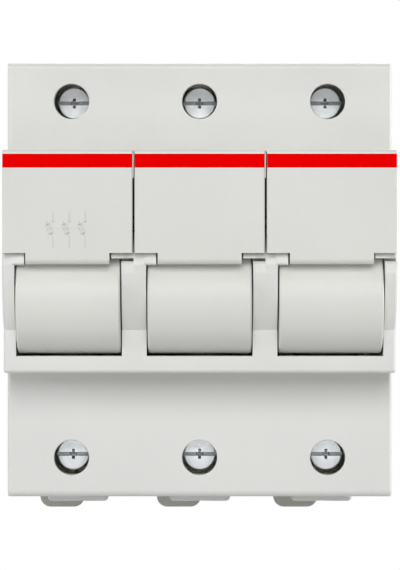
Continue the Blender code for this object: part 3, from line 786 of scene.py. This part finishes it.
# ---- carriers --------------------------------------------------------------
def carrier(side, x):
    outline = (
        [(-54.3, TONGUE_Z), (-54.3, NOSE_TOP)]
        + arc((LABEL_Y + 0.8, NOSE_TOP - 0.8), 0.8, 90, 180, 6)
        + arc((LABEL_Y + 1.25, TONGUE_Z + 1.25), 1.25, 180, 270, 10)
    )
    body = slab("carrier_shell_" + side, outline, x - PLATE_HALF, x + PLATE_HALF)
    rounded(
        body,
        lambda a, b: abs(abs(a.x - x) - PLATE_HALF) < 1e-3
        and abs(abs(b.x - x) - PLATE_HALF) < 1e-3
        and a.x * b.x >= 0
        and abs(a.x - b.x) < 1e-3
        and max(a.z, b.z) > 0
        and (min(a.y, b.y) < -71.0 or min(a.z, b.z) > NOSE_TOP - 1),
        0.3,
        3,
    )
    under = (
        [(-74, -2), (-74, NOTCH_Z)]
        + hinge_arc(CARRIER_R, NOTCH_Z, -54.3, 36)
        + [(-53, 5.0), (-53, -2)]
    )
    inside = [
        (-70.3, 6.5),
        (-70.3, NOSE_TOP - WALL),
        (-53, NOSE_TOP - WALL),
        (-53, -2),
        (-66.4, -2),
        (-66.4, 1.2),
    ]
    cut(
        body,
        slab(side + "_under_l", under, x - 15, x - TONGUE_HALF),
        slab(side + "_under_r", under, x + TONGUE_HALF, x + 15),
        slab(side + "_inside", inside, x - 11.4, x + 11.4),
    )
    settle(body)

    drum = rod(side + "_drum", "X", AXIS, x - DRUM_HALF, x + DRUM_HALF, DRUM_R, 96)
    rounded(drum, lambda a, b: abs(a.x - b.x) < 1e-3, 0.5, 4)
    hollow = [leaning(1.8, -12), leaning(12, -12), leaning(12, 12), leaning(1.8, 12)]
    sweep = math.degrees(math.acos(1.8 / 9.0))
    hollow += [
        leaning(9.0 * math.cos(math.radians(a)), 9.0 * math.sin(math.radians(a)))
        for a in [sweep + (360 - 2 * sweep) * i / 28 for i in range(29)]
    ]
    cut(drum, slab(side + "_hollow", hollow, x - 8.6, x + 8.6))
    settle(drum)
    for u in (-7.2, 7.2):
        rib = [leaning(-7.0, u - 0.7), leaning(5.6, u - 0.7), leaning(5.6, u + 0.7), leaning(-7.0, u + 0.7)]
        if u > 0:
            rib[0], rib[3] = leaning(-6.2, u - 0.7), leaning(-6.2, u + 0.7)
        join(drum, slab(side + "_saddle", rib, x - 9.2, x + 9.2))
    for edge in (-1, 1):
        grip = [leaning(8.4, -3), leaning(10.2, -3), leaning(10.2, 3), leaning(8.4, 3)]
        ends = sorted((x + edge * 6.95, x + edge * 9.0))
        join(drum, slab(side + "_grip", grip, *ends))
    settle(drum)
    barrel = rod(side + "_barrel_room", "Z", (0, 0), -14, 14, BARREL_R + 0.3, 64)
    lean_into_place(barrel, x)
    cut(drum, barrel)
    settle(drum)
    join(body, drum)
    settle(body)
    cut(
        body,
        rod(side + "_axle_way", "X", AXIS, x - 12, x + 12, 1.8, 32),
        rod(side + "_tie_way", "X", TIE, x - 15, x + 15, 1.6, 32),
    )
    if side != "right":
        join(body, block(side + "_lip", (x + 12.6, -71.4, 17.15), (x + 13.25, -60.0, 22.3)))
    settle(body)

    # the printed band is its own field of the front face
    bm = bmesh.new()
    bm.from_mesh(body.data)
    for level in STRIPE_Z:
        front = [f for f in bm.faces if f.normal.y < -0.7 and f.calc_center_median().y < -71.6 * MM]
        geom = front + list({e for f in front for e in f.edges}) + list({v for f in front for v in f.verts})
        bmesh.ops.bisect_plane(bm, geom=geom, plane_co=(0, 0, level * MM), plane_no=(0, 0, 1), dist=1e-7)
    bm.to_mesh(body.data)
    bm.free()
    polished(body, "carrier_grey", 35)
    body.data.materials.append(MATERIALS["stripe_red"])
    for face in body.data.polygons:
        if (
            face.normal.y < -0.6
            and face.center.y < -71.7 * MM
            and STRIPE_Z[0] * MM < face.center.z < STRIPE_Z[1] * MM
            and abs(face.center.x / MM - x) < PLATE_HALF - 0.02
        ):
            face.material_index = 1
    return placed(body, "carrier_bank", "carrier", side + "_carrier")


# ---- fuses -----------------------------------------------------------------
def fuse(side, x):
    half = FUSE_LENGTH / 2
    inner = BARREL_R - 0.35
    seat = half - CAP_LENGTH - 0.3
    body = spun(
        side + "_fuse_tube",
        [(0, half - 0.9), (inner, half - 0.9), (inner, seat)]
        + [(BARREL_R - 0.25 + 0.25 * math.sin(math.radians(a)), seat - 0.25 + 0.25 * math.cos(math.radians(a))) for a in (0, 30, 60, 90)]
        + [(BARREL_R - 0.25 + 0.25 * math.cos(math.radians(a)), -seat + 0.25 - 0.25 * math.sin(math.radians(a))) for a in (0, 30, 60, 90)]
        + [(inner, -seat), (inner, -half + 0.9), (0, -half + 0.9)],
        64,
    )
    lean_into_place(body, x)
    polished(body, "ceramic")
    placed(body, "carrier_bank", "fuse_ceramic", side + "_fuse_body")
    for end, sign in (("upper", 1), ("lower", -1)):
        rim = [(FUSE_R - 0.5 + 0.5 * math.sin(math.radians(a)), half - 0.5 + 0.5 * math.cos(math.radians(a))) for a in (0, 22, 45, 68, 90)]
        crimp = []
        for at in (half - 9.6,):
            crimp += [(FUSE_R, at + 0.5), (FUSE_R - 0.12, at + 0.25), (FUSE_R - 0.16, at), (FUSE_R - 0.12, at - 0.25), (FUSE_R, at - 0.5)]
        profile = (
            [(0, half - 0.18), (FUSE_R - 2.2, half - 0.18), (FUSE_R - 1.8, half)]
            + rim
            + crimp
            + [(FUSE_R, half - CAP_LENGTH + 0.12), (FUSE_R - 0.1, half - CAP_LENGTH), (BARREL_R, half - CAP_LENGTH), (BARREL_R, half - 0.6), (0, half - 0.6)]
        )
        cap = spun(f"{side}_fuse_cap_{end}", profile, 72)
        if sign < 0:
            cap.data.transform(Matrix.Rotation(math.pi, 4, "X"))
        lean_into_place(cap, x)
        polished(cap, "cap_silver")
        placed(cap, "carrier_bank", "fuse_cap", f"{side}_fuse_{end}_cap")


# ---- terminals -------------------------------------------------------------
def painted_recess_shade(body, front):
    """Painted shade: the faces inside the slot and the cross recess take a darker zinc, where shade falls."""
    body.data.materials.append(MATERIALS["zinc_painted_shade"])
    for face in body.data.polygons:
        c = face.center / MM
        if front - 2.6 < c.z < front - 0.12 and math.hypot(c.x, c.y) < HEAD_R - 0.12 and not (
            c.z < front - HEAD_H + 0.05
        ):
            face.material_index = 1


def terminal_screw(side, end, x):
    """Cylinder head with a slot and a cross recess, and a real helical thread."""
    z = SCREW_Z[end]
    steps, pitch = 48, 0.8
    front = -HEAD_Y
    rows = [(HEAD_R - 0.4, front, 0.0)]
    for a in (22, 45, 68, 90):
        rows.append((HEAD_R - 0.4 + 0.4 * math.sin(math.radians(a)), front - 0.4 + 0.4 * math.cos(math.radians(a)), 0.0))
    under = front - HEAD_H
    rows += [(HEAD_R, under + 0.15, 0.0), (HEAD_R - 0.15, under, 0.0), (SHANK_R + 0.05, under, 0.0), (SHANK_R - 0.2, under - 0.3, 0.0)]
    tip = -SHANK_END
    level = under - 0.9
    count = int((level - (tip + 0.9)) / 0.1)
    for i in range(count + 1):
        grow = min(1.0, i / 8.0, (count - i) / 8.0)
        rows.append((SHANK_R - 0.45, level - i * 0.1, 0.45 * max(grow, 0.0)))
    rows += [(SHANK_R - 0.5, tip + 0.7, 0.0), (SHANK_R - 0.9, tip, 0.0)]
    bm = bmesh.new()
    top = bm.verts.new((0, 0, front * MM))
    rings = []
    for r, h, ridge in rows:
        ring = []
        for k in range(steps):
            turn = k / steps
            wave = ((h / pitch) + turn) % 1.0
            tooth = 1.0 - abs(2.0 * wave - 1.0)
            tooth = min(1.0, max(0.0, (tooth - 0.12) / 0.76))
            radius = (r + ridge * tooth) * MM
            ring.append(bm.verts.new((radius * math.cos(2 * math.pi * turn), radius * math.sin(2 * math.pi * turn), h * MM)))
        rings.append(ring)
    low = bm.verts.new((0, 0, tip * MM))
    for k in range(steps):
        j = (k + 1) % steps
        bm.faces.new((top, rings[0][k], rings[0][j]))
        bm.faces.new((low, rings[-1][j], rings[-1][k]))
        for a, b in zip(rings, rings[1:]):
            bm.faces.new((a[k], b[k], b[j], a[j]))
    bmesh.ops.recalc_face_normals(bm, faces=bm.faces)
    mesh = bpy.data.meshes.new(f"{side}_{end}_terminal_screw")
    bm.to_mesh(mesh)
    bm.free()
    body = add(f"{side}_{end}_terminal_screw", mesh)
    cut(body, block("slot", (-4.2, -0.42, front - 1.15), (4.2, 0.42, front + 1.0)))
    settle(body, clean=False)
    # cross recess: two wedges that narrow towards their bottom, over a round well
    for turn in (0.0, math.pi / 2):
        wing = slab("wing", [(-1.15, front + 0.5), (1.15, front + 0.5), (1.05, front), (0.55, front - 2.1), (-0.55, front - 2.1), (-1.05, front)], -0.32, 0.32, plane="XZ")
        wing.data.transform(Matrix.Rotation(turn, 4, "Z"))
        cut(body, wing)
    cut(body, spun("well", [(0, front + 0.5), (0.62, front + 0.5), (0.55, front), (0.4, front - 1.9), (0, front - 2.3)], 32))
    settle(body)
    polished(body, "zinc", 30)
    # painted shade on the faces inside the slot and cross recess
    painted_recess_shade(body, front)
    face_to_front(body, x, z)
    body.data.transform(Matrix.Translation((0, FORWARD[end] * MM, 0)))
    return placed(body, f"{side}_{end}_screw_body", "screw_zinc", f"{side}_{end}_screw")


def terminal_cage(side, end, x):
    z = SCREW_Z[end]
    front, inner_front, inner_rear, rear = (y + FORWARD[end] for y in CAGE_Y)
    body = block(
        f"{side}_{end}_lift_cage",
        (x - CAGE_X[1], front, z - CAGE_HALF_Z),
        (x + CAGE_X[1], rear, z + CAGE_HALF_Z),
    )
    rounded(body, lambda a, b: abs(a.z - b.z) > 1, 1.0, 5)
    room = block("room", (x - CAGE_X[0], inner_front, z - 9), (x + CAGE_X[0], inner_rear, z + 9))
    rounded(room, lambda a, b: abs(a.z - b.z) > 1, 0.35, 3)
    cut(body, room, rod("thread", "Y", (x, z), front - 3, inner_front + 3, SHANK_R + 0.3, 40))
    settle(body)
    # gripping grooves on the face that presses the wire, and the strip's overlap seam
    for step in (-2.4, -0.8, 0.8, 2.4):
        groove = slab("groove", [(inner_rear - 0.2, z + step - 0.35), (inner_rear + 0.28, z + step), (inner_rear - 0.2, z + step + 0.35)], x - 5.0, x + 5.0)
        cut(body, groove)
    cut(body, block("seam", (x + 4.6, front - 0.5, z - 6), (x + 4.78, front + 1.2, z + 6)))
    settle(body)
    rounded(
        body,
        lambda a, b: abs(abs(a.z - z) - CAGE_HALF_Z) < 1e-3 and abs(a.z - b.z) < 1e-3,
        0.15,
        2,
    )
    polished(body, "cage_steel", 30)
    return placed(body, f"{side}_{end}_cage_body", "cage_steel", f"{side}_{end}_cage")


# ---- rail clips ------------------------------------------------------------
def rail_clip(side, x):
    tab_low = -57.2
    outline = (
        arc((x + CLIP_X[0] + 2.4, tab_low + 2.4), 2.4, 180, 270, 10)
        + arc((x + CLIP_X[1] - 2.4, tab_low + 2.4), 2.4, 270, 360, 10)
        + [(x + CLIP_X[1], -16.3), (x + CLIP_X[0], -16.3)]
    )
    body = slab(side + "_clip_slider", outline, *CLIP_Y, plane="XZ")
    rounded(
        body,
        lambda a, b: abs(a.y - b.y) < 1e-3 and (max(a.z, b.z) < -16.4 or min(a.z, b.z) > -16.4),
        0.45,
        4,
    )
    join(body, block("flange", (x - 11.3, 0.61, -34.0), (x + 1.85, 2.4, -20.6), soften=0.2))
    settle(body)
    cut(
        body,
        block("lip_room", (x - 15, -1, -18.9), (x + 5, 1.5, -10)),
        block("spring_room", (x - 7.5, -1, -40.3), (x - 2.1, 6, -27.5)),
        block("driver_slot", (x - 6.9, -1, -54.4), (x - 2.7, 6, -52.2)),
    )
    settle(body)
    polished(body, "clip_grey", 35)
    return placed(body, side + "_clip_body", "clip", side + "_rail_clip")


def clip_spring(side, x):
    turns, per_turn, radius, wire = 5.0, 28, 1.45, 0.28
    sides = 12
    low, high = -38.2 + wire, -27.8 - wire
    count = int(turns * per_turn)
    bm = bmesh.new()
    rings = []
    for i in range(count + 1):
        angle = 2 * math.pi * i / per_turn
        t = i / count
        centre = Vector((radius * math.cos(angle), radius * math.sin(angle), low + (high - low) * t))
        rise = (high - low) / (turns * 2 * math.pi * radius)
        along = Vector((-math.sin(angle), math.cos(angle), rise)).normalized()
        out = Vector((math.cos(angle), math.sin(angle), 0))
        up = along.cross(out).normalized()
        ring = []
        for k in range(sides):
            a = 2 * math.pi * k / sides
            p = centre + out * wire * math.cos(a) + up * wire * math.sin(a)
            ring.append(bm.verts.new(((x - 4.8 + p.x) * MM, (2.6 + p.y) * MM, p.z * MM)))
        rings.append(ring)
    for a, b in zip(rings, rings[1:]):
        for k in range(sides):
            j = (k + 1) % sides
            bm.faces.new((a[k], a[j], b[j], b[k]))
    bm.faces.new(rings[0][::-1])
    bm.faces.new(rings[-1])
    bmesh.ops.recalc_face_normals(bm, faces=bm.faces)
    mesh = bpy.data.meshes.new(side + "_coil")
    bm.to_mesh(mesh)
    bm.free()
    body = add(side + "_coil", mesh)
    polished(body, "spring_steel", 50, weighted=False)
    placed(body, "housing", "spring_wire", side + "_clip_spring")
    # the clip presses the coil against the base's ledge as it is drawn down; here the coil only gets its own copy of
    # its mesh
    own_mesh(body)
    return body


# ---- fasteners and rods ----------------------------------------------------
def housing_screw(number, x, z):
    profile = [(0, 16.0), (0.35, 15.95), (0.6, 15.6), (1.2, 14.4)]
    pitch = 1.1
    for i in range(15):
        at = 14.2 - i * pitch / 2
        profile.append((1.35 if i % 2 else 1.05, at))
    profile += [(1.2, 6.2), (1.2, -1.9), (1.35, -2.3), (2.65, -2.3), (2.8, -2.45), (2.8, -3.4)]
    profile += [(2.8 - 0.65 * (1 - math.cos(math.radians(a))), -3.4 - 0.65 * math.sin(math.radians(a))) for a in (30, 60, 90)]
    profile += [(1.2, -4.1), (0, -4.1)]
    body = spun(f"base_screw_{number}", profile, 40)
    for turn in (0.0, math.pi / 2):
        wing = slab("wing", [(-1.5, -4.6), (1.5, -4.6), (1.45, -4.1), (0.5, -2.7), (-0.5, -2.7), (-1.45, -4.1)], -0.3, 0.3, plane="XZ")
        wing.data.transform(Matrix.Rotation(turn, 4, "Z"))
        cut(body, wing)
    cut(body, block("slot", (-3.0, -0.35, -4.6), (3.0, 0.35, -3.35)))
    settle(body)
    face_to_front(body, x, z)
    polished(body, "zinc", 30)
    return placed(body, "housing", "screw_zinc", f"housing_screw_{number}")


def print_marks(x):
    """Three plain fuse-switch symbols in faint print, as shapes a hair proud of the plate."""
    bm = bmesh.new()

    def bar(ax, az, bx, bz, width):
        a, b = Vector((ax, az)), Vector((bx, bz))
        along = (b - a).normalized()
        side = Vector((-along.y, along.x)) * width / 2
        corners = [a + side, b + side, b - side, a - side]
        near = [bm.verts.new(((x + c.x) * MM, (LABEL_Y - 0.012) * MM, c.y * MM)) for c in corners]
        far = [bm.verts.new(((x + c.x) * MM, (LABEL_Y + 0.05) * MM, c.y * MM)) for c in corners]
        bm.faces.new(near)
        bm.faces.new(far[::-1])
        for i in range(4):
            j = (i + 1) % 4
            bm.faces.new((near[j], near[i], far[i], far[j]))

    for at in (-2.85, 0.42, 3.6):
        bar(at, 10.6, at, 8.4, 0.26)
        bar(at - 0.35, 8.4, at + 0.35, 8.4, 0.22)
        bar(at, 5.2, at, 3.2, 0.26)
        # the tilted blade with its cartridge
        foot, head = Vector((at, 5.2)), Vector((at - 1.35, 8.6))
        bar(foot.x, foot.y, head.x, head.y, 0.18)
        along = (head - foot).normalized()
        side = Vector((-along.y, along.x)) * 0.45
        low, high = foot + along * 0.9, foot + along * 2.9
        ring = [low + side, high + side, high - side, low - side]
        for a, b in zip(ring, ring[1:] + ring[:1]):
            bar(a.x, a.y, b.x, b.y, 0.22)
    bar(-2.85 - 0.9, 7.0, 3.6 - 0.9, 7.0, 0.08)
    bmesh.ops.recalc_face_normals(bm, faces=bm.faces)
    mesh = bpy.data.meshes.new("left_symbols")
    bm.to_mesh(mesh)
    bm.free()
    marks = add("left_symbols", mesh, "print_grey")
    placed(marks, "carrier_bank", "carrier")


# ---- build -----------------------------------------------------------------
front_housing()
rear_base()
for pole, centre in POLES.items():
    carrier(pole, centre)
    fuse(pole, centre)
    for terminal in SCREW_Z:
        terminal_screw(pole, terminal, centre)
        terminal_cage(pole, terminal, centre)
    rail_clip(pole, centre)
    clip_spring(pole, centre)
print_marks(POLES["left"])
number = 0
for z in BACK_SCREW_Z:
    for x in (-PITCH / 2, PITCH / 2):
        number += 1
        housing_screw(number, x, z)
axle = polished(rod("hinge_axle", "X", AXIS, -38.1, 39.3, 1.5, 48, soften=0.25), "steel")
placed(axle, "housing", "rod_steel", "carrier_axle")
tie = polished(rod("tie_bar", "X", TIE, -39.3, 39.3, 1.3, 48, soften=0.25), "steel_black")
placed(tie, "carrier_bank", "rod_steel", "carrier_tie_rod")
for pole in POLES:
    for terminal in SCREW_Z:
        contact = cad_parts[f"{pole}_{terminal}_contact"]
        contact.data.materials.clear()
        contact.data.materials.append(MATERIALS["contact_silver"])
        weld = contact.modifiers.new("weld", "WELD")
        weld.merge_threshold = 1e-6
        soft = contact.modifiers.new("soft_edges", "BEVEL")
        soft.width = 0.00012
        soft.segments = 2
        soft.limit_method = "ANGLE"
        soft.angle_limit = math.radians(20)

bpy.context.view_layer.update()
